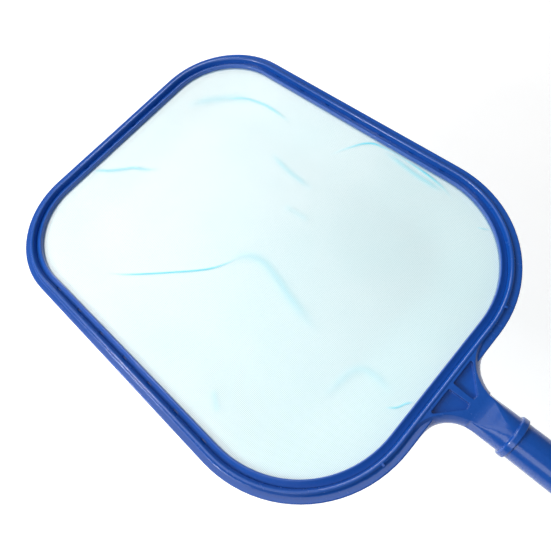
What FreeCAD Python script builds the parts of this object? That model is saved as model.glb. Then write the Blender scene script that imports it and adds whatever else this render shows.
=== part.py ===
import FreeCAD, Part
import math
import os

import Sketcher
from FreeCAD import Placement, Rotation, Vector

# Leaf skimmer net head for a telescopic pool pole, in millimetres.
# X runs along the handle towards the far edge of the frame, Z points up out of the face that the
# leaves are scooped with, and the origin is on the stem's axis at the shoulder that stops the pole.
# "Inset" is a distance inwards from the outer edge of the frame's flange. Levels are heights.

DIMENSIONS = [
    ("frame_length", 400, "outer edge to outer edge of the frame along X"),
    ("frame_width", 316, "outer edge to outer edge of the frame along Y"),
    ("near_corner", 104, "outer corner radius on the handle's side"),
    ("far_corner", 80, "outer corner radius on the far side"),
    ("neck_reach", 48, "pole shoulder to the frame's outer edge"),
    ("flange_level", 7, "flange edge above the stem's axis"),
    ("wall", 2, "wall of the frame moulding"),
    ("rim_width", 15.8, "outer edge to the frame's window"),
    ("rim_depth", 5.2, "flange edge down to the back of the frame"),
    ("bead_rise", 0.3, "rolled edge of the flange above the flange edge"),
    ("groove_inset", 4.9, "bottom of the groove outside the ridge"),
    ("groove_drop", 0.3, "flange edge down to the bottom of the groove"),
    ("ridge_inset", 7.7, "middle of the ridge's crest"),
    ("ridge_rise", 2.7, "flange edge up to the crest of the ridge"),
    ("ridge_crest", 1.1, "half width of the ridge's crest before rounding"),
    ("ridge_round", 1.6, "rounding of the ridge's crest"),
    ("seat_inset", 10.1, "outer wall of the retaining ring's seat"),
    ("seam_drop", 1.6, "flange edge down to the seam between the ridge and the ring"),
    ("seat_drop", 4.2, "flange edge down to the floor of the seat"),
    ("ring_gap", 0.15, "clearance round the retaining ring"),
    ("ring_rise", 0.9, "flange edge up to the inner lip of the retaining ring"),
    ("ring_fall", 2.5, "fall of the ring's top from its lip to the seam"),
    ("ring_lip", 0.9, "width of the ring's lip"),
    ("hem_gap", 0.9, "room for the net's edge under the retaining ring"),
    ("snap_length", 5, "length of a snap window in the retaining ring"),
    ("snap_depth", 0.7, "depth of a snap window"),
    ("snap_pitch", 32, "spacing of the snap windows"),
    ("net_thickness", 0.8, "solid that stands in for the net's mesh"),
    ("net_hem_inset", 11.2, "edge of the net inside the seat"),
    ("net_slope_inset", 17, "start of the net's sag"),
    ("net_floor_inset", 74, "edge of the net's flat middle"),
    ("net_sag", 7, "depth of the net's sag"),
    ("net_lift", 0.05, "clearance under the net's edge"),
    ("stem_radius", 14.2, "guide land that fits a pole's bore"),
    ("stem_land", 42, "length of the guide land"),
    ("nose_radius", 13.8, "stem beyond the guide land"),
    ("stem_length", 100, "shoulder to the stem's open end"),
    ("bore_radius", 11.9, "bore of the stem"),
    ("bore_floor", 1.4, "shoulder to the blind end of the bore"),
    ("collar_radius", 16, "collar that stops the pole"),
    ("collar_width", 5, "collar along X"),
    ("plate_end", 29.6, "where the tube has flattened into the neck's plate"),
    ("plate_width", 11.4, "half width of the flat top at the plate's end"),
    ("plate_side", 15.36, "half width of the widest outline at the plate's end"),
    ("plate_round", 0.9, "corner radius of the neck's section at the plate's end"),
    ("swell_start", 3, "start of the swell, inside the collar"),
    ("neck_spread", 72, "half length of the ridge that the neck thickens"),
    ("top_root", 17.6, "half width of the flat top where its sides turn to follow the ridge"),
    ("flank_root", 21.3, "half width of the widest outline where it turns to follow the ridge"),
    ("flank_spread", 50.2, "half width of the widest outline at the ridge"),
    ("keel_spread", 36, "half width of the back outline at the ridge"),
    ("top_sweep", 32, "radius of the flat top's concave sides"),
    ("flank_sweep", 26, "radius of the neck's concave sides at their widest"),
    ("keel_sweep", 22, "radius of the neck's concave sides near the back"),
    ("flank_level", 0, "height of the neck's widest outline"),
    ("keel_level", -9, "height of the neck's back outline"),
    ("keel_width", 10, "half width of the neck's back outline"),
    ("slope_start", 13.6, "where the back of the neck starts to slope up to the frame"),
    ("slope_depth", 2.5, "back of the neck below the back of the frame, at the ridge"),
    ("neck_drop", 0.5, "crest of the ridge down to the neck's flat top"),
    ("recess_depth", 3.5, "depth of the two recesses in the neck"),
    ("recess_base", 52.7, "X of the recesses' base, beside the ridge"),
    ("recess_outer", 26, "half spread of the recesses at their base"),
    ("recess_tip", 35.2, "X of the recesses' tip"),
    ("recess_tip_outer", 6.2, "half spread of the recesses at their tip"),
    ("rib_base", 2.5, "half width of the centre rib at its base"),
    ("rib_tip", 1.8, "half width of the centre rib at its tip"),
    ("recess_round", 1.3, "corner radius of the recesses"),
    ("web", 2.5, "web between a recess and the hollow behind it"),
    ("back_rib", 1.6, "thickness of the cross ribs behind the frame"),
    ("back_rib_pitch", 34, "spacing of the cross ribs"),
    ("clip_hinge", 12, "shoulder to the ends of the clip's bow"),
    ("clip_spread", 9.6, "half distance between the clip's legs, at mid-thickness"),
    ("clip_strip", 1.2, "thickness of the clip's strip"),
    ("clip_width", 8, "width of the clip's strip"),
    ("clip_split", 0.3, "gap between the bow and a leg, where the strip flexes"),
    ("clip_end", 60, "shoulder to the free ends of the legs"),
    ("button_place", 48, "shoulder to the buttons' axis"),
    ("button_radius", 3.8, "radius of a button"),
    ("button_hole", 4.6, "radius of the stem's button holes"),
    ("button_reach", 17.4, "stem axis to the tip of a button"),
    ("button_dome", 2, "height of a button's rounded tip"),
    ("rivet_radius", 1.5, "shank that fixes a button to its leg"),
    ("rivet_head", 2.6, "radius of the shank's head"),
    ("rivet_cap", 0.8, "thickness of the shank's head"),
    ("rivet_gap", 0.1, "clearance round the shank"),
    ("pip_radius", 1.1, "radius of the small pips on the ridge"),
    ("pip_rise", 0.35, "height of the small pips"),
]

doc = FreeCAD.newDocument("leaf_skimmer_net")
sheet = doc.addObject("Spreadsheet::Sheet", "Sheet")
for row, (alias, size, note) in enumerate(DIMENSIONS, start=1):
    sheet.set("A%d" % row, note)
    sheet.set("B%d" % row, str(size))
    sheet.setAlias("B%d" % row, alias)
doc.recompute()

CREST = "(Sheet.flange_level + Sheet.ridge_rise)"
NECK_TOP = "(Sheet.flange_level + Sheet.ridge_rise - Sheet.neck_drop)"
BACK = "(Sheet.flange_level - Sheet.rim_depth)"
SEAT = "(Sheet.flange_level - Sheet.seat_drop)"
HALF_WIDTH = "Sheet.frame_width / 2"
# Sketcher's numbers for a curve's start, end and centre, and the tolerances of the checks below.
START = 1
END = 2
MIDDLE = 3
SAME_POINT = 1e-6
LEAST_CUT = 1


def value(text):
    """Work out an expression of the sheet's dimensions."""
    return float(sheet.evalExpression(text))


def new_body(label):
    body = doc.addObject("PartDesign::Body", label)
    body.Label = label
    return body


def new_sketch(body, name, role, level=None):
    """Add a sketch on one of the body's own planes, raised along its normal to a level."""
    sketch = body.newObject("Sketcher::SketchObject", name)
    planes = [face for face in body.Origin.OriginFeatures if face.Role == role]
    sketch.AttachmentSupport = [(planes[0], "")]
    sketch.MapMode = "FlatFace"
    if level is not None:
        sketch.AttachmentOffset = Placement(Vector(0, 0, value(level)), Rotation())
        sketch.setExpression("AttachmentOffset.Base.z", level)
    return sketch


def size_constraint(sketch, kind, *where_and_text):
    """Add a dimension to a sketch and bind it to an expression."""
    *where, text = where_and_text
    index = sketch.addConstraint(Sketcher.Constraint(kind, *where, value(text)))
    sketch.setExpression("Constraints[%d]" % index, text)


def place_point(sketch, geometry, end, across, up):
    """Fix a point of a sketch at two expressions, measured from the sketch's origin."""
    size_constraint(sketch, "DistanceX", -1, 1, geometry, end, across)
    size_constraint(sketch, "DistanceY", -1, 1, geometry, end, up)


def outline(sketch, corners):
    """Draw a closed outline. A corner is (across, up) or (across, up, radius), as expressions."""
    count = len(corners)
    points = [Vector(value(corner[0]), value(corner[1]), 0) for corner in corners]
    arrive = list(points)
    leave = list(points)
    arcs = {}
    for i, corner in enumerate(corners):
        if len(corner) == 3:
            back = (points[i - 1] - points[i]).normalize()
            ahead = (points[(i + 1) % count] - points[i]).normalize()
            half = back.getAngle(ahead) / 2
            radius = value(corner[2])
            arrive[i] = points[i] + back * (radius / math.tan(half))
            leave[i] = points[i] + ahead * (radius / math.tan(half))
            bisector = (back + ahead).normalize()
            nearest = points[i] + bisector * (radius / math.sin(half) - radius)
            arcs[i] = Part.Arc(arrive[i], nearest, leave[i])
    lines = []
    for i in range(count):
        segment = Part.LineSegment(leave[i], arrive[(i + 1) % count])
        lines.append(sketch.addGeometry(segment, False))
    for i, corner in enumerate(corners):
        before = lines[i - 1]
        after = lines[i]
        if i in arcs:
            apex = sketch.addGeometry(Part.Point(points[i]), True)
            place_point(sketch, apex, START, corner[0], corner[1])
            sketch.addConstraint(Sketcher.Constraint("PointOnObject", apex, START, before))
            sketch.addConstraint(Sketcher.Constraint("PointOnObject", apex, START, after))
            arc = sketch.addGeometry(arcs[i], False)
            starts_here = sketch.getPoint(arc, START).isEqual(arrive[i], SAME_POINT)
            first, last = (START, END) if starts_here else (END, START)
            sketch.addConstraint(Sketcher.Constraint("Tangent", before, END, arc, first))
            sketch.addConstraint(Sketcher.Constraint("Tangent", arc, last, after, START))
            size_constraint(sketch, "Radius", arc, corner[2])
        else:
            sketch.addConstraint(Sketcher.Constraint("Coincident", before, END, after, START))
            place_point(sketch, after, START, corner[0], corner[1])


def circle(sketch, across, up, radius):
    shape = Part.Circle(Vector(value(across), value(up), 0), Vector(0, 0, 1), value(radius))
    index = sketch.addGeometry(shape, False)
    place_point(sketch, index, MIDDLE, across, up)
    size_constraint(sketch, "Radius", index, radius)


def frame_outline(inset):
    """Corners of the frame's rounded outline, moved inwards by an expression."""
    near = "Sheet.neck_reach + %s" % inset
    far = "Sheet.neck_reach + Sheet.frame_length - %s" % inset
    side = "(%s - %s)" % (HALF_WIDTH, inset)
    near_round = "Sheet.near_corner - %s" % inset
    far_round = "Sheet.far_corner - %s" % inset
    return [
        (near, "0 * Sheet.wall"),
        (near, "-" + side, near_round),
        (far, "-" + side, far_round),
        (far, side, far_round),
        (near, side, near_round),
    ]


def mirrored(corners):
    """Complete an outline that is symmetric about the X axis from its half with negative Y."""
    other = [(corner[0], "-(%s)" % corner[1]) + tuple(corner[2:]) for corner in corners]
    return corners + other[::-1]


def sweep_section(body, name, corners):
    """Sweep a section, drawn in insets and levels, round the frame's outer edge."""
    path = new_sketch(body, name + "_path", "XY_Plane", "Sheet.flange_level")
    outline(path, frame_outline("0 * Sheet.wall"))
    section = new_sketch(body, name + "_section", "XZ_Plane")
    outline(section, [("Sheet.neck_reach + " + corner[0],) + tuple(corner[1:]) for corner in corners])
    doc.recompute()
    sweep = body.newObject("PartDesign::AdditivePipe", name)
    sweep.Profile = section
    sweep.Spine = path
    doc.recompute()
    return sweep


def pad(body, name, sketch, length, reverse=False, both_ways=False):
    feature = body.newObject("PartDesign::Pad", name)
    feature.Profile = sketch
    feature.Length = value(length)
    feature.setExpression("Length", length)
    feature.Reversed = reverse
    feature.Midplane = both_ways
    doc.recompute()
    return feature


def pocket(body, name, sketch, depth, reverse=False, both_ways=False):
    """Cut a pocket, and make sure that it removes material."""
    before = body.Shape.Volume
    feature = body.newObject("PartDesign::Pocket", name)
    feature.Profile = sketch
    feature.Length = value(depth)
    feature.setExpression("Length", depth)
    feature.Reversed = reverse
    feature.Midplane = both_ways
    doc.recompute()
    if body.Shape.Volume > before - LEAST_CUT:
        raise ValueError("%s cuts nothing" % name)
    return feature


def revolve(body, name, sketch, axis):
    feature = body.newObject("PartDesign::Revolution", name)
    feature.Profile = sketch
    feature.ReferenceAxis = (sketch, [axis])
    feature.Angle = 360
    doc.recompute()
    return feature


def loft(body, name, kind, first, others):
    feature = body.newObject("PartDesign::" + kind, name)
    feature.Profile = first
    feature.Sections = others
    doc.recompute()
    return feature


def row_both_sides(body, name, feature, axis, span, count, mirror_role):
    """Repeat a feature in a centred row, and mirror the row to the opposite side."""
    transform = body.newObject("PartDesign::MultiTransform", name)
    transform.Originals = [feature]
    line = body.newObject("PartDesign::LinearPattern", name + "_row")
    line.Direction = ([item for item in body.Origin.OriginFeatures if item.Role == axis][0], [""])
    line.Length = value(span)
    line.setExpression("Length", span)
    line.Occurrences = count
    opposite = body.newObject("PartDesign::Mirrored", name + "_opposite")
    plane = [item for item in body.Origin.OriginFeatures if item.Role == mirror_role][0]
    opposite.MirrorPlane = (plane, [""])
    transform.Transformations = [line, opposite]
    body.Tip = transform
    doc.recompute()
    return transform


# --- Frame moulding: rim, neck and stem in one piece ---------------------------------------------

frame = new_body("frame_moulding")

RIM_SECTION = [
    ("0 * Sheet.wall", BACK),
    ("0 * Sheet.wall", "Sheet.flange_level + Sheet.bead_rise", "Sheet.wall * 0.45"),
    ("Sheet.wall", "Sheet.flange_level + Sheet.bead_rise * 0.5", "Sheet.wall * 3"),
    ("Sheet.groove_inset", "Sheet.flange_level - Sheet.groove_drop", "Sheet.wall * 0.6"),
    ("Sheet.ridge_inset - Sheet.ridge_crest", CREST, "Sheet.ridge_round"),
    ("Sheet.ridge_inset + Sheet.ridge_crest", CREST, "Sheet.ridge_round"),
    ("Sheet.seat_inset", "Sheet.flange_level - Sheet.seam_drop"),
    ("Sheet.seat_inset", SEAT),
    ("Sheet.rim_width", SEAT),
    ("Sheet.rim_width", BACK),
    ("Sheet.seat_inset - Sheet.wall", BACK),
    ("Sheet.seat_inset - Sheet.wall", "Sheet.flange_level + Sheet.ridge_rise - Sheet.wall"),
    ("Sheet.groove_inset + Sheet.wall", "Sheet.flange_level - Sheet.groove_drop - Sheet.wall * 0.9"),
    ("Sheet.wall", "Sheet.flange_level - Sheet.wall"),
    ("Sheet.wall", BACK),
]
sweep_section(frame, "rim", RIM_SECTION)

# The stem is a round hollow tube with a guide land, a collar that stops the pole and a blind end.
stem_half = new_sketch(frame, "stem_half", "XZ_Plane")
outline(stem_half, [
    ("-Sheet.stem_length", "Sheet.bore_radius"),
    ("-Sheet.stem_length", "Sheet.nose_radius - Sheet.wall / 2"),
    ("-Sheet.stem_length + Sheet.wall", "Sheet.nose_radius"),
    ("-Sheet.stem_land - Sheet.wall / 2", "Sheet.nose_radius"),
    ("-Sheet.stem_land", "Sheet.stem_radius"),
    ("0 * Sheet.wall", "Sheet.stem_radius"),
    ("0 * Sheet.wall", "Sheet.collar_radius", "Sheet.wall * 0.3"),
    ("Sheet.collar_width", "Sheet.collar_radius", "Sheet.wall * 0.75"),
    ("Sheet.collar_width", "0 * Sheet.wall"),
    ("-Sheet.bore_floor", "0 * Sheet.wall"),
    ("-Sheet.bore_floor", "Sheet.bore_radius"),
])
doc.recompute()
revolve(frame, "stem", stem_half, "H_Axis")

# The neck is a flat-topped plate that spreads to the ridge with concave sides and rounded flanks.
neck_top = new_sketch(frame, "neck_top", "XY_Plane", NECK_TOP)
outline(neck_top, mirrored([
    ("Sheet.neck_reach + Sheet.ridge_inset", "-Sheet.neck_spread"),
    ("Sheet.neck_reach + Sheet.ridge_inset - Sheet.ridge_crest / 2", "-Sheet.neck_spread * 0.8"),
    ("Sheet.neck_reach + Sheet.groove_inset + Sheet.wall", "-Sheet.top_root", "Sheet.top_sweep"),
    ("Sheet.plate_end", "-Sheet.plate_width"),
]))
neck_flank = new_sketch(frame, "neck_flank", "XY_Plane", "Sheet.flank_level")
outline(neck_flank, mirrored([
    ("Sheet.neck_reach + Sheet.ridge_inset", "-Sheet.flank_spread"),
    ("Sheet.neck_reach + Sheet.bead_rise", "-Sheet.flank_spread * 0.92"),
    ("Sheet.neck_reach", "-Sheet.flank_root", "Sheet.flank_sweep"),
    ("Sheet.plate_end", "-Sheet.plate_side"),
]))
neck_keel = new_sketch(frame, "neck_keel", "XY_Plane", "Sheet.keel_level")
outline(neck_keel, mirrored([
    ("Sheet.neck_reach + Sheet.ridge_inset", "-Sheet.keel_spread"),
    ("Sheet.neck_reach - Sheet.wall / 2", "-Sheet.keel_spread * 0.94"),
    ("Sheet.neck_reach - Sheet.wall", "-Sheet.keel_width", "Sheet.keel_sweep"),
    ("Sheet.plate_end", "-Sheet.keel_width"),
]))
doc.recompute()
loft(frame, "neck", "AdditiveLoft", neck_top, [neck_flank, neck_keel])


# The round tube flattens into the plate: its top comes down and the plate's edges grow out of it.
# Its six-sided sections have corners so round that the last one, inside the collar, is a circle.
HEXAGON = "(Sheet.stem_radius / cos(30deg))"
SWELL_STAGES = [
    # name, way from the plate to the tube, how much of a tube it is, half width at its widest
    ("swell_plate", 0, 0, "Sheet.plate_side"),
    ("swell_b", 0.15, 0.07, "(Sheet.plate_side - Sheet.wall * 0.25)"),
    ("swell_c", 0.34, 0.3, "(Sheet.plate_side - Sheet.wall * 0.18)"),
    ("swell_d", 0.56, 0.66, "(Sheet.plate_side + Sheet.wall * 0.12)"),
    ("swell_e", 0.78, 0.92, "(Sheet.plate_side + Sheet.wall * 0.37)"),
    ("swell_tube", 1, 1, HEXAGON),
]


def swell_section(name, way, share, side):
    """Draw one cross section of the swell, share of the way from the plate's to the tube's."""
    def between(plate, tube):
        return "(%s + (%s - %s) * %g)" % (plate, tube, plate, share)

    corner = between("Sheet.plate_round", "(Sheet.stem_radius - Sheet.plate_round / 6)")
    top_width = between("Sheet.plate_width", HEXAGON + " / 2")
    top = between(NECK_TOP, "Sheet.stem_radius")
    keel_width = between("Sheet.keel_width", HEXAGON + " / 2")
    keel = between("Sheet.keel_level", "-Sheet.stem_radius")
    where = "Sheet.plate_end - (Sheet.plate_end - Sheet.swell_start) * %g" % way
    section = new_sketch(frame, name, "YZ_Plane", where)
    outline(section, [
        ("-" + keel_width, keel, corner),
        (keel_width, keel, corner),
        (side, "Sheet.flank_level", corner),
        (top_width, top, corner),
        ("-" + top_width, top, corner),
        ("-" + side, "Sheet.flank_level", corner),
    ])
    return section


swell = [swell_section(*stage) for stage in SWELL_STAGES]
doc.recompute()
loft(frame, "swell", "AdditiveLoft", swell[0], swell[1:])

# The back of the neck slopes up from the tube to the back of the frame.
back_slope = new_sketch(frame, "back_slope", "XZ_Plane")
outline(back_slope, [
    ("Sheet.slope_start", "-Sheet.collar_radius - Sheet.wall"),
    ("Sheet.slope_start", "-Sheet.stem_radius - Sheet.wall / 10"),
    ("Sheet.neck_reach + Sheet.groove_inset - Sheet.wall", BACK + " - Sheet.slope_depth"),
    ("Sheet.neck_reach + Sheet.rim_width", BACK + " - Sheet.slope_depth / 6"),
    ("Sheet.neck_reach + Sheet.rim_width", "-Sheet.collar_radius - Sheet.wall"),
])
doc.recompute()
pocket(frame, "back_slope_cut", back_slope, "Sheet.neck_spread * 2", both_ways=True)


def recess_corners(side):
    """Corners of one triangular recess, on the side of the centre rib that the sign names."""
    return [
        ("Sheet.recess_base", side + "Sheet.rib_base", "Sheet.recess_round"),
        ("Sheet.recess_base", side + "Sheet.recess_outer", "Sheet.recess_round"),
        ("Sheet.recess_tip", side + "Sheet.recess_tip_outer", "Sheet.recess_round"),
        ("Sheet.recess_tip + Sheet.wall * 0.4", side + "Sheet.rib_tip", "Sheet.recess_round"),
    ]


# Two triangular recesses in the neck's top, and a hollow behind each of them.
for side, name in (("", "left"), ("-", "right")):
    recess = new_sketch(frame, "recess_" + name, "XY_Plane", NECK_TOP)
    outline(recess, recess_corners(side))
    doc.recompute()
    pocket(frame, "recess_%s_cut" % name, recess, "Sheet.recess_depth")
    hollow = new_sketch(frame, "hollow_" + name, "XY_Plane", "-Sheet.collar_radius")
    outline(hollow, recess_corners(side))
    doc.recompute()
    hollow_height = NECK_TOP + " - Sheet.recess_depth - Sheet.web + Sheet.collar_radius"
    pocket(frame, "hollow_%s_cut" % name, hollow, hollow_height, reverse=True)

# Round holes in the stem's sides let the clip's buttons out.
holes = new_sketch(frame, "button_holes", "XZ_Plane")
circle(holes, "-Sheet.button_place", "0 * Sheet.wall", "Sheet.button_hole")
doc.recompute()
pocket(frame, "button_holes_cut", holes, "Sheet.collar_radius * 2.4", both_ways=True)

# Cross ribs stiffen the channel behind the frame's straight sides.
side_rib = new_sketch(frame, "side_rib", "XY_Plane", BACK)
LONG_SPAN = "Sheet.back_rib_pitch * 5"
RIB_START = "(Sheet.neck_reach + Sheet.near_corner + Sheet.back_rib_pitch * 0.3)"
outline(side_rib, [
    (RIB_START, "-%s + Sheet.wall / 2" % HALF_WIDTH),
    (RIB_START, "-%s + Sheet.seat_inset - Sheet.wall / 2" % HALF_WIDTH),
    (RIB_START + " + Sheet.back_rib", "-%s + Sheet.seat_inset - Sheet.wall / 2" % HALF_WIDTH),
    (RIB_START + " + Sheet.back_rib", "-%s + Sheet.wall / 2" % HALF_WIDTH),
])
doc.recompute()
side_rib_pad = pad(frame, "side_rib_pad", side_rib, "Sheet.rim_depth - Sheet.groove_drop - Sheet.wall * 0.3")
row_both_sides(frame, "side_ribs", side_rib_pad, "X_Axis", LONG_SPAN, 6, "XZ_Plane")

far_rib = new_sketch(frame, "far_rib", "XY_Plane", BACK)
FAR_EDGE = "(Sheet.neck_reach + Sheet.frame_length)"
outline(far_rib, [
    (FAR_EDGE + " - Sheet.wall / 2", "Sheet.back_rib_pitch / 2"),
    (FAR_EDGE + " - Sheet.wall / 2", "Sheet.back_rib_pitch / 2 + Sheet.back_rib"),
    (FAR_EDGE + " - Sheet.seat_inset + Sheet.wall / 2", "Sheet.back_rib_pitch / 2 + Sheet.back_rib"),
    (FAR_EDGE + " - Sheet.seat_inset + Sheet.wall / 2", "Sheet.back_rib_pitch / 2"),
])
doc.recompute()
far_rib_pad = pad(frame, "far_rib_pad", far_rib, "Sheet.rim_depth - Sheet.groove_drop - Sheet.wall * 0.3")
row_both_sides(frame, "far_ribs", far_rib_pad, "Y_Axis", "Sheet.back_rib_pitch", 2, "XZ_Plane")

# Small pips mark the two ends of the ridge's thickened stretch.
pips = new_sketch(frame, "pips", "XY_Plane", CREST + " - Sheet.pip_rise")
for side in ("", "-"):
    circle(pips, "Sheet.neck_reach + Sheet.ridge_inset", side + "(Sheet.neck_spread + Sheet.pip_radius)",
           "Sheet.pip_radius")
doc.recompute()
pad(frame, "pips_pad", pips, "Sheet.pip_rise * 2")

# --- Retaining ring: snaps into the frame's seat and traps the net's edge ------------------------

ring = new_body("retaining_ring")
RING_OUTER = "Sheet.seat_inset + Sheet.ring_gap"
RING_TOP = "Sheet.flange_level + Sheet.ring_rise"
RING_BOTTOM = SEAT + " + Sheet.hem_gap"
sweep_section(ring, "band", [
    (RING_OUTER, RING_BOTTOM),
    (RING_OUTER, RING_TOP + " - Sheet.ring_fall"),
    (RING_OUTER + " + Sheet.ring_lip * 2", RING_TOP + " - Sheet.ring_fall * 0.75", "Sheet.ring_lip * 6"),
    ("Sheet.rim_width - Sheet.ring_lip", RING_TOP, "Sheet.ring_lip * 0.8"),
    ("Sheet.rim_width", RING_TOP + " - Sheet.ring_lip * 0.5", "Sheet.ring_lip * 0.3"),
    ("Sheet.rim_width", RING_BOTTOM),
])


def snap_window(name, across, up):
    """Cut one snap window into the ring's outer top edge, centred on a point of the seam."""
    window = new_sketch(ring, name, "XY_Plane", RING_TOP)
    half_across, half_up = (("Sheet.snap_length / 2", "Sheet.snap_depth * 1.6") if "side" in name
                            else ("Sheet.snap_depth * 1.6", "Sheet.snap_length / 2"))
    outline(window, [
        ("%s - %s" % (across, half_across), "%s - %s" % (up, half_up)),
        ("%s + %s" % (across, half_across), "%s - %s" % (up, half_up)),
        ("%s + %s" % (across, half_across), "%s + %s" % (up, half_up)),
        ("%s - %s" % (across, half_across), "%s + %s" % (up, half_up)),
    ])
    doc.recompute()
    return pocket(ring, name + "_cut", window, "Sheet.snap_depth + Sheet.ring_fall")


side_window = snap_window("side_window", RIB_START, "(-%s + %s)" % (HALF_WIDTH, RING_OUTER))
row_both_sides(ring, "side_windows", side_window, "X_Axis", "Sheet.snap_pitch * 6", 7, "XZ_Plane")
far_window = snap_window("far_window", "(%s - %s)" % (FAR_EDGE, RING_OUTER.replace(" + ", " - ")),
                         "Sheet.snap_pitch / 2")
row_both_sides(ring, "far_windows", far_window, "Y_Axis", "Sheet.snap_pitch", 2, "XZ_Plane")

# --- Net: a flat hem in the seat and a shallow sag ------------------------------------------------

net = new_body("net_mesh")
HEM_BOTTOM = SEAT + " + Sheet.net_lift"
hem = new_sketch(net, "hem", "XY_Plane", HEM_BOTTOM)
outline(hem, frame_outline("Sheet.net_hem_inset"))
doc.recompute()
pad(net, "hem_pad", hem, "Sheet.net_thickness")
for name, kind, level, shift in (
    ("sag_under", "AdditiveLoft", HEM_BOTTOM, "0 * Sheet.wall"),
    ("sag_over", "SubtractiveLoft", HEM_BOTTOM + " + Sheet.net_thickness", "Sheet.net_thickness"),
):
    top = new_sketch(net, name + "_top", "XY_Plane", level)
    outline(top, frame_outline("(Sheet.net_slope_inset + %s)" % shift))
    floor = new_sketch(net, name + "_floor", "XY_Plane", level + " - Sheet.net_sag")
    outline(floor, frame_outline("(Sheet.net_floor_inset + %s)" % shift))
    doc.recompute()
    loft(net, name, kind, top, [floor])

# --- Spring clip: a U-shaped strip inside the stem, and its two buttons --------------------------

bow = new_body("clip_bow")
bow_sketch = new_sketch(bow, "bow_arc", "XY_Plane")
CLIP_X = "-Sheet.clip_hinge"
for name, radius in (("outer", "Sheet.clip_spread + Sheet.clip_strip / 2"),
                     ("inner", "Sheet.clip_spread - Sheet.clip_strip / 2")):
    size = value(radius)
    centre = Vector(value(CLIP_X), 0, 0)
    arc = bow_sketch.addGeometry(Part.ArcOfCircle(Part.Circle(centre, Vector(0, 0, 1), size),
                                                  -math.pi / 2, math.pi / 2), False)
    place_point(bow_sketch, arc, MIDDLE, CLIP_X, "0 * Sheet.wall")
    size_constraint(bow_sketch, "Radius", arc, radius)
    for end in (START, END):
        size_constraint(bow_sketch, "DistanceX", -1, 1, arc, end, CLIP_X)
for end in (START, END):
    tip = bow_sketch.addGeometry(Part.LineSegment(bow_sketch.getPoint(0, end),
                                                  bow_sketch.getPoint(1, end)), False)
    bow_sketch.addConstraint(Sketcher.Constraint("Coincident", tip, START, 0, end))
    bow_sketch.addConstraint(Sketcher.Constraint("Coincident", tip, END, 1, end))
doc.recompute()
pad(bow, "bow_pad", bow_sketch, "Sheet.clip_width", both_ways=True)


def clip_leg(label, side):
    """One flat leg of the clip, with a rounded free end and a hole for its button's shank."""
    leg = new_body(label)
    strip = new_sketch(leg, label + "_strip", "XZ_Plane", "-(%sSheet.clip_spread)" % side)
    root = "-Sheet.clip_hinge - Sheet.clip_split"
    outline(strip, [
        (root, "-Sheet.clip_width / 2"),
        (root, "Sheet.clip_width / 2"),
        ("-Sheet.clip_end", "Sheet.clip_width / 2", "Sheet.clip_width * 0.4"),
        ("-Sheet.clip_end", "-Sheet.clip_width / 2", "Sheet.clip_width * 0.4"),
    ])
    circle(strip, "-Sheet.button_place", "0 * Sheet.wall", "Sheet.rivet_radius + Sheet.rivet_gap")
    doc.recompute()
    pad(leg, label + "_pad", strip, "Sheet.clip_strip", both_ways=True)
    return leg


def clip_button(label, turn):
    """One round-nosed button on the outside of its leg, its shank headed over on the inside."""
    button = new_body(label)
    half = new_sketch(button, label + "_half", "XZ_Plane")
    inner = "(Sheet.clip_spread - Sheet.clip_strip / 2)"
    outer = "(Sheet.clip_spread + Sheet.clip_strip / 2)"
    outline(half, [
        ("0 * Sheet.wall", inner + " - Sheet.rivet_cap"),
        ("Sheet.rivet_head", inner + " - Sheet.rivet_cap", "Sheet.rivet_cap / 2"),
        ("Sheet.rivet_head", inner),
        ("Sheet.rivet_radius", inner),
        ("Sheet.rivet_radius", outer),
        ("Sheet.button_radius", outer),
        ("Sheet.button_radius", "Sheet.button_reach", "Sheet.button_dome"),
        ("0 * Sheet.wall", "Sheet.button_reach"),
    ])
    doc.recompute()
    revolve(button, label + "_turned", half, "V_Axis")
    button.Placement = Placement(Vector(-value("Sheet.button_place"), 0, 0),
                                 Rotation(Vector(1, 0, 0), turn))
    button.setExpression("Placement.Base.x", "-Sheet.button_place")
    return button


pieces = [frame, ring, net, bow]
for side_name, side, turn in (("left", "", -90), ("right", "-", 90)):
    pieces.append(clip_leg("clip_leg_" + side_name, side))
    pieces.append(clip_button("clip_button_" + side_name, turn))

# --- Checks and export ----------------------------------------------------------------------------

doc.recompute()
for item in doc.Objects:
    if "Invalid" in item.State or "Error" in item.State:
        raise ValueError("%s did not build" % item.Label)
os.makedirs("parts", exist_ok=True)
for piece in pieces:
    shape = piece.Shape
    if shape.isNull() or not shape.isValid() or len(shape.Solids) != 1:
        raise ValueError("%s is not one valid solid" % piece.Label)
    shape.exportStep("parts/%s.step" % piece.Label)
    print(piece.Label, round(shape.Volume), "mm3", shape.BoundBox)
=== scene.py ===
import math

import bmesh
import bpy
from mathutils import Euler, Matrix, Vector
from mathutils.geometry import delaunay_2d_cdt
from mathutils.kdtree import KDTree


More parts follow.
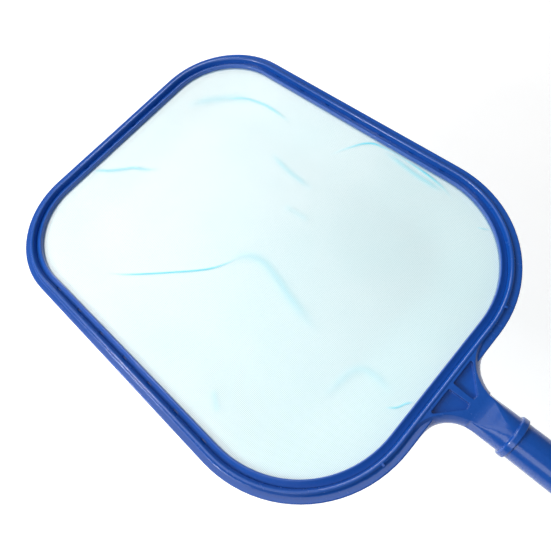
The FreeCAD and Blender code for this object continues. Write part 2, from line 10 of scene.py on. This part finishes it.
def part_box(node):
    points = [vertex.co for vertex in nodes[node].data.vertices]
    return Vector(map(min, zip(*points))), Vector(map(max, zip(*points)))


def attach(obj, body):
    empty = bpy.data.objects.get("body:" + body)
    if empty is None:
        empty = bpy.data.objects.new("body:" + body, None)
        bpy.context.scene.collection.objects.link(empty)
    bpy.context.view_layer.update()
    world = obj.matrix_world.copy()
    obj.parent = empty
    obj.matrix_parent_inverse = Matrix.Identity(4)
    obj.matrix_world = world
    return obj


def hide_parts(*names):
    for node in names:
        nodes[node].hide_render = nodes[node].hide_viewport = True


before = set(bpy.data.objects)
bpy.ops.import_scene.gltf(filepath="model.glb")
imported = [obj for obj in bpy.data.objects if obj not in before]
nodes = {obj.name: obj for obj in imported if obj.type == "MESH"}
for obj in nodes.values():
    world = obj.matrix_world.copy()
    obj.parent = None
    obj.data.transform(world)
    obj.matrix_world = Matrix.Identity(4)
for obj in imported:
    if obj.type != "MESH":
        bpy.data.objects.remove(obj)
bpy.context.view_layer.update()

# Leaf skimmer net head. Everything is in metres, in the part's own frame: X runs along the handle
# to the far edge, Z points up out of the face that leaves are scooped with.

scene = bpy.context.scene


def new_object(name, data):
    made = bpy.data.objects.new(name, data)
    scene.collection.objects.link(made)
    return made


# --- Camera --------------------------------------------------------------------------------------

CAMERA_PLACE = (0.0663, 0.0888, 0.3597)
CAMERA_TURN = (22.812, 9.041, -137.594)
CAMERA_LENS = 30.56
SENSOR_WIDTH = 36
NEAREST_SEEN = 0.01

camera = new_object("camera", bpy.data.cameras.new("camera"))
camera.location = CAMERA_PLACE
camera.rotation_euler = Euler([math.radians(turn) for turn in CAMERA_TURN])
camera.data.lens = CAMERA_LENS
camera.data.sensor_width = SENSOR_WIDTH
camera.data.clip_start = NEAREST_SEEN
scene.camera = camera

# --- Material helpers ----------------------------------------------------------------------------

NOISE_SPAN = (0.3, 0.7)  # noise mostly stays between these
BEVEL_SAMPLES = 6


def new_material(name):
    material = bpy.data.materials.new(name)
    material.use_nodes = True
    return material, material.node_tree, material.node_tree.nodes["Principled BSDF"]


def add(tree, kind, **settings):
    """Add a node. Settings named like one of its sockets set that socket, the rest its fields."""
    node = tree.nodes.new(kind)
    for key, setting in settings.items():
        if key in node.inputs:
            node.inputs[key].default_value = setting
        else:
            setattr(node, key, setting)
    return node


def object_coordinates(tree, scale=(1, 1, 1), turn=(0, 0, 0)):
    """Object coordinates, scaled and turned. They are metres: CAD objects sit at the origin."""
    place = add(tree, "ShaderNodeTexCoord")
    mapping = add(tree, "ShaderNodeMapping", Scale=scale, Rotation=turn)
    tree.links.new(place.outputs["Object"], mapping.inputs["Vector"])
    return mapping.outputs["Vector"]


def noise(tree, vector, scale, detail=3.0, roughness=0.55):
    node = add(tree, "ShaderNodeTexNoise", Scale=scale, Detail=detail, Roughness=roughness)
    tree.links.new(vector, node.inputs["Vector"])
    return node.outputs["Fac"]


def connect(tree, socket, source):
    """Give a socket a number, a colour or another node's output."""
    if isinstance(source, tuple):
        socket.default_value = (*source, 1)
    elif isinstance(source, (int, float)):
        socket.default_value = source
    else:
        tree.links.new(source, socket)


def math_node(tree, operation, *sources, clamp=False):
    node = add(tree, "ShaderNodeMath", operation=operation, use_clamp=clamp)
    for socket, source in zip(node.inputs, sources):
        connect(tree, socket, source)
    return node.outputs[0]


def ramp(tree, source, low, high, to_low=0.0, to_high=1.0):
    """Map low..high to to_low..to_high, clamped."""
    node = add(tree, "ShaderNodeMapRange", **{"From Min": low, "From Max": high,
                                              "To Min": to_low, "To Max": to_high})
    tree.links.new(source, node.inputs["Value"])
    return node.outputs["Result"]


def mix_colour(tree, factor, first, second):
    node = add(tree, "ShaderNodeMix", data_type="RGBA")
    for socket, source in zip((node.inputs[0], node.inputs[6], node.inputs[7]),
                              (factor, first, second)):
        connect(tree, socket, source)
    return node.outputs[2]


def bump(tree, height, distance, strength=1.0, normal=None):
    node = add(tree, "ShaderNodeBump", Distance=distance, Strength=strength)
    tree.links.new(height, node.inputs["Height"])
    if normal is not None:
        tree.links.new(normal, node.inputs["Normal"])
    return node.outputs["Normal"]


def soft_edges(tree, radius):
    """Shading of slightly rounded edges, as a mould leaves them."""
    return add(tree, "ShaderNodeBevel", samples=BEVEL_SAMPLES, Radius=radius).outputs["Normal"]


def x_and_y(tree, place):
    parts = add(tree, "ShaderNodeSeparateXYZ")
    tree.links.new(place, parts.inputs[0])
    return parts.outputs["X"], parts.outputs["Y"]


def woven(tree, place, pitch):
    """Height of a square weave: 1 on the threads and low in its holes."""
    waves = []
    for coordinate in x_and_y(tree, place):
        phase = math_node(tree, "MULTIPLY", coordinate, math.pi / pitch)
        waves.append(math_node(tree, "ABSOLUTE", math_node(tree, "SINE", phase)))
    return math_node(tree, "MAXIMUM", *waves)


# --- Plastic and steel ---------------------------------------------------------------------------

# Scales of the noise, in waves per metre.
DRIFT_SCALE = 14     # slow change of colour along the rim
FLOW_SCALE = 90      # waviness that the flow of the melt leaves
MOTTLE_SCALE = 420   # fine grain
SCUFF_SCALE = 60
SPECKLE_SCALE = 900  # of the acetal

PLASTIC_IOR = 1.5
COAT = 0.35
COAT_ROUGHNESS = 0.06
SCUFF_ROUGHNESS = 0.08   # what scuffs and grain add to a plastic's roughness
MOTTLE_ROUGHNESS = 0.05
FLOW_DEPTH = 0.0004
MOTTLE_DEPTH = 0.00006
RING_PATTERN = (0.0012, 0.00005)
STEEL_STRETCH = (30, 900, 900)  # turns noise into lines along the strip
FINE_DEPTH = 0.00003            # of the steel's lines and of the acetal's speckle


def moulded_plastic(name, light, dark, roughness, edge, texture=None):
    """Glossy polypropylene: a slow drift of colour, flow marks, fine grain and soft moulded edges.

    Texture is the pitch and depth of a fine square pattern, where the mould has one."""
    material, tree, shader = new_material(name)
    place = object_coordinates(tree)
    drift = noise(tree, place, DRIFT_SCALE, detail=2)
    mottle = noise(tree, place, MOTTLE_SCALE, detail=4, roughness=0.7)
    blend = math_node(tree, "ADD", ramp(tree, drift, *NOISE_SPAN, 0, 0.7),
                      ramp(tree, mottle, 0.35, 0.65, 0, 0.3))
    tree.links.new(mix_colour(tree, blend, dark, light), shader.inputs["Base Color"])
    along_rim = object_coordinates(tree, scale=(1, 6, 3), turn=(0, 0, 0.6))
    scuffs = noise(tree, along_rim, SCUFF_SCALE, detail=6)
    rough = math_node(tree, "ADD",
                      ramp(tree, scuffs, 0.3, 0.75, roughness, roughness + SCUFF_ROUGHNESS),
                      ramp(tree, mottle, *NOISE_SPAN, 0, MOTTLE_ROUGHNESS))
    tree.links.new(rough, shader.inputs["Roughness"])
    shader.inputs["IOR"].default_value = PLASTIC_IOR
    shader.inputs["Coat Weight"].default_value = COAT
    shader.inputs["Coat Roughness"].default_value = COAT_ROUGHNESS
    flow = noise(tree, place, FLOW_SCALE, detail=2)
    normal = bump(tree, flow, FLOW_DEPTH, 0.4, soft_edges(tree, edge))
    if texture:
        pitch, depth = texture
        normal = bump(tree, woven(tree, place, pitch), depth, 0.5, normal)
    normal = bump(tree, mottle, MOTTLE_DEPTH, 0.6, normal)
    tree.links.new(normal, shader.inputs["Normal"])
    return material


def steel_material():
    """Rolled spring strip, with fine lines along it."""
    material, tree, shader = new_material("clip_steel")
    lines = noise(tree, object_coordinates(tree, scale=STEEL_STRETCH), 1.5, detail=5)
    tree.links.new(mix_colour(tree, lines, (0.50, 0.51, 0.52), (0.70, 0.71, 0.72)),
                   shader.inputs["Base Color"])
    shader.inputs["Metallic"].default_value = 1
    tree.links.new(ramp(tree, lines, *NOISE_SPAN, 0.22, 0.38), shader.inputs["Roughness"])
    tree.links.new(bump(tree, lines, FINE_DEPTH, 0.6, soft_edges(tree, 0.0002)),
                   shader.inputs["Normal"])
    return material


def acetal_material():
    """White acetal of the clip's buttons, with a faint speckle."""
    material, tree, shader = new_material("button_plastic")
    speckle = noise(tree, object_coordinates(tree), SPECKLE_SCALE)
    tree.links.new(mix_colour(tree, speckle, (0.78, 0.79, 0.78), (0.86, 0.86, 0.85)),
                   shader.inputs["Base Color"])
    tree.links.new(ramp(tree, speckle, *NOISE_SPAN, 0.34, 0.46), shader.inputs["Roughness"])
    tree.links.new(bump(tree, speckle, FINE_DEPTH, 0.5, soft_edges(tree, 0.0003)),
                   shader.inputs["Normal"])
    return material


frame_plastic = moulded_plastic("frame_plastic", light=(0.006, 0.092, 0.450),
                                dark=(0.003, 0.070, 0.370), roughness=0.18, edge=0.0006)
ring_plastic = moulded_plastic("ring_plastic", light=(0.008, 0.095, 0.460),
                               dark=(0.005, 0.076, 0.390), roughness=0.27, edge=0.0004,
                               texture=RING_PATTERN)
clip_steel = steel_material()
button_plastic = acetal_material()
NODE_MATERIALS = {
    "frame_moulding": frame_plastic,
    "retaining_ring": ring_plastic,
    "clip_bow": clip_steel,
    "clip_leg_left": clip_steel,
    "clip_leg_right": clip_steel,
    "clip_button_left": button_plastic,
    "clip_button_right": button_plastic,
}
for name, material in NODE_MATERIALS.items():
    nodes[name].data.materials.clear()
    nodes[name].data.materials.append(material)

# --- Net -----------------------------------------------------------------------------------------

net_low, net_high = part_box("net_mesh")
HALF_THICKNESS = 0.0004                       # of the solid that stands for the net
HEM_LEVEL = net_high.z - HALF_THICKNESS
NEAR_CORNER = 0.0928                          # corner radii of the net's cut edge
FAR_CORNER = 0.0688
HEM = 0.0046                                  # the edge strip that the ring holds down
SAG = 0.0062                                  # depth of the sag in the middle
SAG_SHOULDER = 0.052                          # how far in from the hem it takes to get there
SAG_START = 0.0006                            # how far outside the hem's end the sag begins
FOLD_START = 0.004                            # how far past the hem the folds take to rise
CELL = 0.0024                                 # spacing of the sheet's points
FOLD_STATION = 0.0014                         # spacing of the points along a fold
FOLD_ROWS = (0, -0.6, 0.6, -1.2, 1.2, -2, 2)  # rows of points beside it, in half widths
FOLD_FADE = 0.3                               # share of its length that each end fades over
FOLD_REACH = 3                                # half widths beyond which it no longer shows
CLOSEST = 0.0005                              # two points no nearer than this
JOIN_ANGLE = 0.7                              # radians, for pairing triangles into quads
WEAVE_PITCH = 0.0011
WEAVE_DEPTH = 0.00025
THREAD_SPAN = (0.62, 0.9)                     # heights of the weave where a thread's side lies
COVER = (0.50, 0.66)                          # how much the holes and the threads hide
CREASE_COVER = 0.4                            # what a full crease adds to that
NEAR_PAINTED_SHADE_TINT = (0.45, 0.78, 0.82)                # by the handle, with painted shade: darker and more cyan
FAR_PAINTED_LIGHT_TINT = (0.66, 0.835, 0.855)               # at the far edge, with painted light: paler
PAINTED_SHADE_STRETCH = (0.06, 0.36)                   # where along X the painted shade gives way to painted light
HOLE_TINT = (0.42, 0.74, 0.78)
CREASE_TINT = (0.10, 0.80, 0.98)
CLOUD_SCALE = 11
CLOUD_SHARE = 0.3                             # of the change that is patchy
NET_SHEEN = 0.1

# Creases that the net keeps from being folded: points (x, y), height, half width, tint.
FOLDS = [
    ([(0.338, 0.110), (0.325, 0.102), (0.307, 0.087), (0.287, 0.069), (0.268, 0.051),
      (0.259, 0.040), (0.253, 0.029), (0.249, 0.019), (0.246, 0.015)], 0.0007, 0.0010, 0.95),
    ([(0.260, 0.042), (0.251, 0.023), (0.243, 0.0145), (0.229, 0.011), (0.209, 0.015),
      (0.192, 0.020), (0.175, 0.024), (0.150, 0.029)], 0.0007, 0.0042, 0.30),
    ([(0.117, 0.066), (0.115, 0.049), (0.113, 0.036), (0.107, 0.0285), (0.095, 0.027),
      (0.078, 0.031)], 0.0005, 0.0034, 0.18),
    ([(0.395, -0.092), (0.382, -0.102), (0.370, -0.110), (0.356, -0.114), (0.342, -0.116),
      (0.324, -0.1155), (0.309, -0.114)], 0.0006, 0.0016, 0.62),
    ([(0.412, -0.065), (0.405, -0.080), (0.394, -0.093), (0.376, -0.107), (0.352, -0.115)],
     0.0004, 0.0044, 0.30),
    ([(0.436, 0.057), (0.429, 0.045), (0.418, 0.036), (0.408, 0.025), (0.402, 0.018),
      (0.390, 0.010), (0.378, 0.000)], 0.0006, 0.0018, 0.60),
    ([(0.255, -0.106), (0.249, -0.116), (0.242, -0.125), (0.235, -0.133), (0.226, -0.1385),
      (0.213, -0.1405), (0.200, -0.1408), (0.185, -0.140), (0.167, -0.138), (0.153, -0.1355),
      (0.143, -0.132), (0.136, -0.129)], 0.0007, 0.0012, 0.95),
    ([(0.218, -0.137), (0.205, -0.136), (0.192, -0.1345), (0.178, -0.133), (0.165, -0.1325),
      (0.153, -0.1325), (0.145, -0.132)], 0.0006, 0.0022, 0.46),
    ([(0.303, -0.078), (0.288, -0.0745), (0.272, -0.072), (0.257, -0.071), (0.243, -0.0695)],
     0.0004, 0.0028, 0.32),
    ([(0.254, -0.042), (0.239, -0.043), (0.224, -0.044)], 0.0003, 0.0030, 0.14),
    ([(0.078, 0.041), (0.072, 0.036), (0.069, 0.030), (0.066, 0.026), (0.0645, 0.022)],
     0.0004, 0.0008, 0.70),
    ([(0.110, -0.120), (0.106, -0.1215), (0.102, -0.123), (0.098, -0.125)],
     0.0003, 0.0006, 0.45),
    ([(0.186, 0.116), (0.178, 0.121), (0.169, 0.127)], 0.0003, 0.0026, 0.20),
]


def outline_points(low, high, near, far, step):
    """Points round the net's cut edge: a rounded rectangle with larger corners by the handle."""
    corners = (
        (low.x + near, low.y + near, near, 180), (high.x - far, low.y + far, far, 270),
        (high.x - far, high.y - far, far, 0), (low.x + near, high.y - near, near, 90),
    )
    ring = []
    for x, y, radius, start in corners:
        count = max(4, round(radius * math.pi / 2 / step))
        for i in range(count + 1):
            angle = math.radians(start + 90 * i / count)
            ring.append(Vector((x + radius * math.cos(angle), y + radius * math.sin(angle))))
    closed = []
    for i, point in enumerate(ring):
        following = ring[(i + 1) % len(ring)]
        pieces = max(1, round((following - point).length / step))
        closed += [point.lerp(following, k / pieces) for k in range(pieces)]
    return closed


def inset_of(x, y):
    """Distance in from the net's cut edge."""
    half = (net_high.y - net_low.y) / 2
    near_side = x < (net_low.x + net_high.x) / 2
    radius = NEAR_CORNER if near_side else FAR_CORNER
    across = half - abs(y)
    along = x - net_low.x if near_side else net_high.x - x
    if across < radius and along < radius:
        return radius - math.hypot(radius - across, radius - along)
    return min(across, along)


def smooth(t):
    t = min(1.0, max(0.0, t))
    return t * t * (3 - 2 * t)


def smooth_line(points, step):
    """Evenly spread points along a smooth curve through the points given."""
    knots = [Vector(point) for point in points]
    knots = [knots[0], *knots, knots[-1]]
    line = []
    for before, start, end, after in zip(knots, knots[1:], knots[2:], knots[3:]):
        count = max(1, round((end - start).length / step))
        for k in range(count):
            t = k / count
            line.append((2 * start + (end - before) * t
                         + (2 * before - 5 * start + 4 * end - after) * t * t
                         + (3 * start - before - 3 * end + after) * t ** 3) / 2)
    return [*line, knots[-1]]


def tree_of(points):
    tree = KDTree(len(points))
    for i, point in enumerate(points):
        tree.insert((point.x, point.y, 0), i)
    tree.balance()
    return tree


class Fold:
    """One crease of the net: a low ridge along a smooth line, fading out at both ends."""

    def __init__(self, points, rise, width, tint):
        self.line = smooth_line(points, FOLD_STATION)
        self.rise = rise
        self.width = width
        self.tint = tint
        self.tree = tree_of(self.line)

    def heading(self, i):
        ahead = self.line[min(i + 1, len(self.line) - 1)]
        return (ahead - self.line[max(i - 1, 0)]).normalized()

    def rows(self):
        """Points of the mesh along the crease: its line and rows on both sides of it."""
        for i, point in enumerate(self.line):
            heading = self.heading(i)
            across = Vector((-heading.y, heading.x))
            for share in FOLD_ROWS:
                yield point + across * (share * self.width)

    def at(self, place):
        """Height and tint that the crease gives a point of the net."""
        _, i, away = self.tree.find((place.x, place.y, 0))
        if away > FOLD_REACH * self.width + FOLD_STATION:
            return 0.0, 0.0
        heading = self.heading(i)
        offset = place - self.line[i]
        along = (i + offset.dot(heading) / FOLD_STATION) / (len(self.line) - 1)
        fade = smooth(along / FOLD_FADE) * smooth((1 - along) / FOLD_FADE)
        aside = abs(heading.cross(offset)) / self.width
        share = fade * math.exp(-aside ** 2)
        return self.rise * share, self.tint * share


def net_sheet():
    """One woven sheet, its edge flat under the retaining ring and its middle sagging a little."""
    folds = [Fold(*fold) for fold in FOLDS]
    edge = outline_points(net_low, net_high, NEAR_CORNER, FAR_CORNER, CELL * 1.4)
    points = list(edge)
    for fold in folds:
        taken = tree_of(points)
        points += [place for place in fold.rows()
                   if inset_of(*place) > CELL * 0.5 and taken.find((*place, 0))[2] > CLOSEST]
    taken = tree_of(points)
    columns = int((net_high.x - net_low.x) / CELL)
    rows = int((net_high.y - net_low.y) / CELL)
    for row in range(1, rows):
        y = net_low.y + (net_high.y - net_low.y) * row / rows
        for column in range(1, columns):
            x = net_low.x + (net_high.x - net_low.x) * column / columns
            if inset_of(x, y) > CELL * 0.6 and taken.find((x, y, 0))[2] > CELL * 0.6:
                points.append(Vector((x, y)))
    flat, _, faces, _, _, _ = delaunay_2d_cdt(points, [], [list(range(len(edge)))], 1, 1e-6)
    bm = bmesh.new()
    tint_layer = bm.verts.layers.float.new("crease")
    made = []
    for point in flat:
        inset = inset_of(*point)
        droop = SAG * smooth((inset - HEM + SAG_START) / SAG_SHOULDER)
        shapes = [fold.at(point) for fold in folds]
        free = smooth((inset - HEM) / FOLD_START)
        lift = sum(height for height, _ in shapes) * free
        vertex = bm.verts.new((point.x, point.y, HEM_LEVEL - droop + lift))
        vertex[tint_layer] = max(tint for _, tint in shapes) * free
        made.append(vertex)
    for face in faces:
        bm.faces.new([made[i] for i in face]).smooth = True
    bmesh.ops.join_triangles(bm, faces=bm.faces, angle_face_threshold=JOIN_ANGLE,
                             angle_shape_threshold=JOIN_ANGLE)
    bmesh.ops.recalc_face_normals(bm, faces=bm.faces)
    if sum(face.normal.z for face in bm.faces) < 0:
        bmesh.ops.reverse_faces(bm, faces=bm.faces)
    mesh = bpy.data.meshes.new("skimmer_net")
    bm.to_mesh(mesh)
    bm.free()
    return new_object("skimmer_net", mesh)


def net_material():
    """Fine white nylon mesh: a square weave with a faint cyan tint.

    Painted shade deepens the tint towards the handle and painted light pales it at the far edge.
    The tint also deepens where creases double the mesh, and the weave's holes let some of the
    light table through."""
    material, tree, shader = new_material("net_fabric")
    place = object_coordinates(tree)
    weave = woven(tree, place, WEAVE_PITCH)
    thread = ramp(tree, weave, *THREAD_SPAN)
    crease = add(tree, "ShaderNodeAttribute", attribute_name="crease").outputs["Fac"]
    along, _ = x_and_y(tree, place)
    # Painted shade and painted light: along X the tint goes from darker by the handle to paler at
    # the far edge, with part of that change patchy.
    far = ramp(tree, along, *PAINTED_SHADE_STRETCH, 0, 1 - CLOUD_SHARE)
    cloud = ramp(tree, noise(tree, place, CLOUD_SCALE), 0.35, 0.68, 0, CLOUD_SHARE)
    tint_with_painted_shade = mix_colour(tree, math_node(tree, "ADD", far, cloud), NEAR_PAINTED_SHADE_TINT, FAR_PAINTED_LIGHT_TINT)
    plain = mix_colour(tree, thread, HOLE_TINT, tint_with_painted_shade)
    tree.links.new(mix_colour(tree, crease, plain, CREASE_TINT), shader.inputs["Base Color"])
    tree.links.new(ramp(tree, weave, 0.5, 1, 0.75, 0.55), shader.inputs["Roughness"])
    seen = math_node(tree, "ADD", ramp(tree, thread, 0, 1, *COVER),
                     math_node(tree, "MULTIPLY", crease, CREASE_COVER), clamp=True)
    tree.links.new(seen, shader.inputs["Alpha"])
    shader.inputs["Sheen Weight"].default_value = NET_SHEEN
    tree.links.new(bump(tree, weave, WEAVE_DEPTH, 0.7), shader.inputs["Normal"])
    return material


net = net_sheet()
net.data.materials.append(net_material())
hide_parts("net_mesh")
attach(net, "head")

# --- Studio --------------------------------------------------------------------------------------

FLOOR_PLACE = (0.2, 0, -0.30)
FLOOR_HALF_WIDTH = 6
FLOOR_CELLS = 8
FLOOR_GLOW = 0.40
PAPER_GRAIN_SCALE = 40
WORLD_GLOW = 0.15
CENTRE = (0.24, 0, 0)
LIGHTS = [  # name, place, aim, height and width, watts
    ("left_softbox", (0.18, 1.35, 1.24), CENTRE, (0.85, 2.00), 11),
    ("overhead", (0.76, 0.46, 1.0), (0.56, 0.26, 0), (1.80, 0.90), 7),
    ("key", (2.37, -0.75, 1.12), CENTRE, (0.90, 1.30), 30),
    ("spark", (0.75, 0.90, 0.72), CENTRE, (0.22, 0.22), 5),
]


def floor_piece():
    """A wide floor of white paper, lit from behind as a light table is."""
    bm = bmesh.new()
    bmesh.ops.create_grid(bm, x_segments=FLOOR_CELLS, y_segments=FLOOR_CELLS,
                          size=FLOOR_HALF_WIDTH)
    bmesh.ops.translate(bm, vec=FLOOR_PLACE, verts=bm.verts)
    mesh = bpy.data.meshes.new("floor")
    bm.to_mesh(mesh)
    bm.free()
    floor = new_object("floor", mesh)
    material, tree, shader = new_material("floor_paper")
    grain = noise(tree, object_coordinates(tree), PAPER_GRAIN_SCALE)
    paper = mix_colour(tree, grain, (0.93, 0.93, 0.93), (0.95, 0.95, 0.95))
    tree.links.new(paper, shader.inputs["Base Color"])
    tree.links.new(paper, shader.inputs["Emission Color"])
    shader.inputs["Emission Strength"].default_value = FLOOR_GLOW
    shader.inputs["Roughness"].default_value = 0.9
    shader.inputs["Specular IOR Level"].default_value = 0.1
    mesh.materials.append(material)


def area_light(name, place, aim, size, watts):
    lamp = bpy.data.lights.new(name, "AREA")
    lamp.shape = "RECTANGLE"
    lamp.size, lamp.size_y = size
    lamp.energy = watts
    light = new_object(name, lamp)
    light.location = place
    direction = Vector(aim) - Vector(place)
    light.rotation_euler = direction.to_track_quat("-Z", "X").to_euler()


floor_piece()
for light_facts in LIGHTS:
    area_light(*light_facts)

world = bpy.data.worlds.new("studio")
world.use_nodes = True
world.node_tree.nodes["Background"].inputs["Color"].default_value = (1, 1, 1, 1)
world.node_tree.nodes["Background"].inputs["Strength"].default_value = WORLD_GLOW
scene.world = world
scene.view_settings.view_transform = "Standard"
